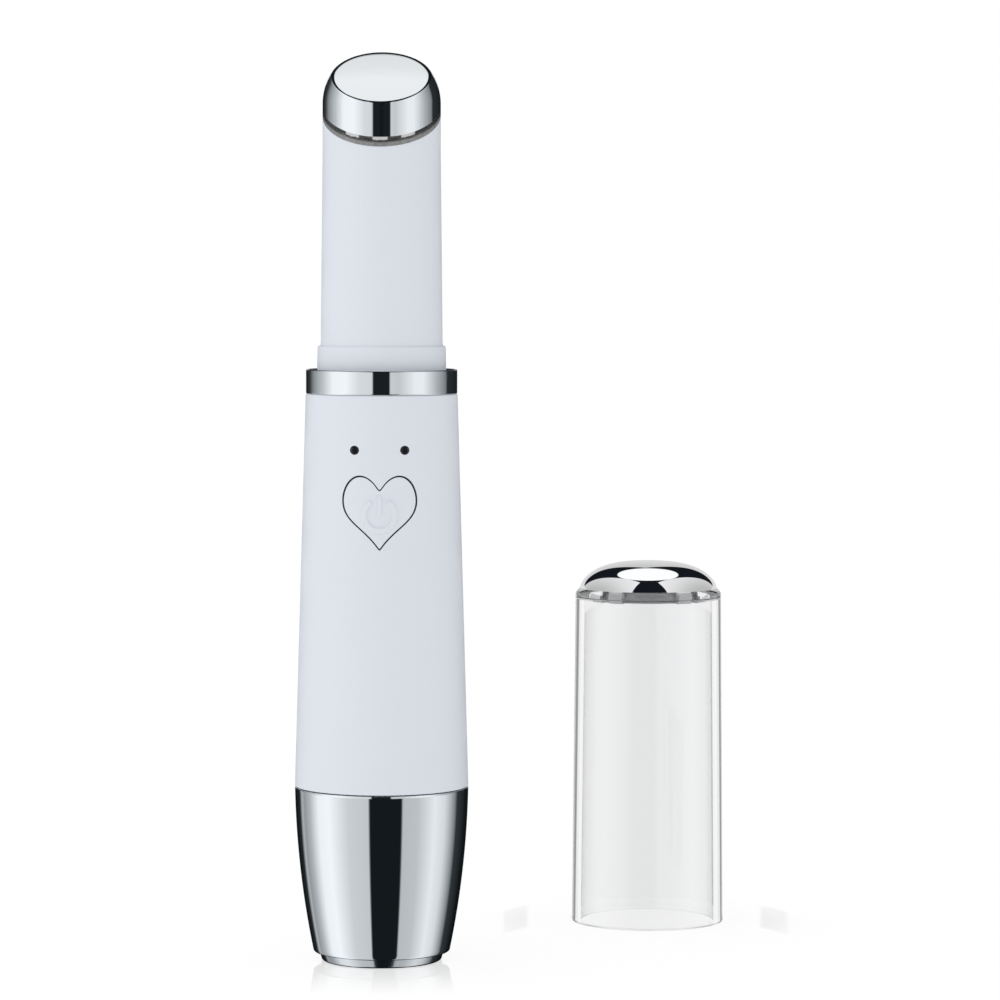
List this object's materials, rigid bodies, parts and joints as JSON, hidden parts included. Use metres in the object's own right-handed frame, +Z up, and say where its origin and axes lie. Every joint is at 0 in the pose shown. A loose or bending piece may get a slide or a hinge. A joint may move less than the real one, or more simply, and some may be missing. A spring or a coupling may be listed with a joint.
{
  "type": "heated eye massager wand",
  "caption": "Slim heated eye massager wand with a slanted chrome head, a heart-shaped power button, a chrome pull-off base and a clear cap standing beside it.",
  "frame": {"origin": "centre of the foot plate's underside, on the table", "axes": "+Z up along the wand's axis, the button and the slanted face look towards -Y, the cap stands towards +X and a little behind"},
  "size_m": [0.0719, 0.0692, 0.1476],
  "materials": {
    "white_plastic": "satin",
    "chrome": "polished",
    "smoky_clear": "gloss",
    "clear_plastic": "gloss",
    "dark_lens": "gloss",
    "inner_plastic": "matte",
    "dark_plastic": "matte",
    "board_green": "satin",
    "board_brown": "satin",
    "steel": "brushed",
    "brass": "satin",
    "copper": "satin",
    "rubber": "matte",
    "cell_jacket": "satin",
    "led_white": "gloss",
    "heater_foil": "satin",
    "red_lead": "satin"
  },
  "bodies": {
    "wand": {"barrel": "white_plastic", "collar_ring": "chrome", "neck_tube": "white_plastic", "light_ring": "smoky_clear", "massage_head": "chrome", "indicator_lens_left": "dark_lens", "indicator_lens_right": "dark_lens", "chassis": "inner_plastic", "main_board": "board_green", "board_screws": "steel", "switch_housing": "dark_plastic", "indicator_leds": "led_white", "controller_chip": "dark_plastic", "positive_contact": "brass", "battery_cell": "cell_jacket", "contact_strip": "brass", "seal_ring": "rubber", "motor_case": "steel", "motor_end_cap": "dark_plastic", "motor_sleeve": "rubber", "motor_cradle": "inner_plastic", "head_carrier": "inner_plastic", "heater_film": "heater_foil", "thermistor": "dark_plastic", "led_board": "board_brown", "head_leds": "led_white", "motor_leads": "red_lead", "head_leads": "rubber"},
    "base": {"base_cup": "chrome", "foot_plate": "chrome", "battery_spring": "steel", "spring_contact_plate": "brass"},
    "button": {"power_button": "white_plastic", "switch_plunger": "dark_plastic"},
    "rotor": {"motor_shaft": "steel", "motor_armature": "copper", "eccentric_weight": "brass"},
    "cap": {"cap_sleeve": "clear_plastic", "cap_dome": "chrome"}
  },
  "joints": [
    {"name": "button_press", "type": "slide", "parent": "wand", "child": "button", "axis": [0, 1, 0], "range_m": [0, 0.0004], "stiffness_N_per_m": 600},
    {"name": "base_pull", "type": "slide", "parent": "wand", "child": "base", "axis": [0, 0, -1], "range_m": [0, 0.03]},
    {"name": "motor_spin", "type": "hinge", "parent": "wand", "child": "rotor", "pos_m": [0, 0, 0.11], "axis": [0, 0, 1], "continuous": true},
    {"name": "cap_lift", "type": "slide", "parent": "wand", "child": "cap", "axis": [0, 0, 1], "range_m": [0, 0.055]}
  ]
}
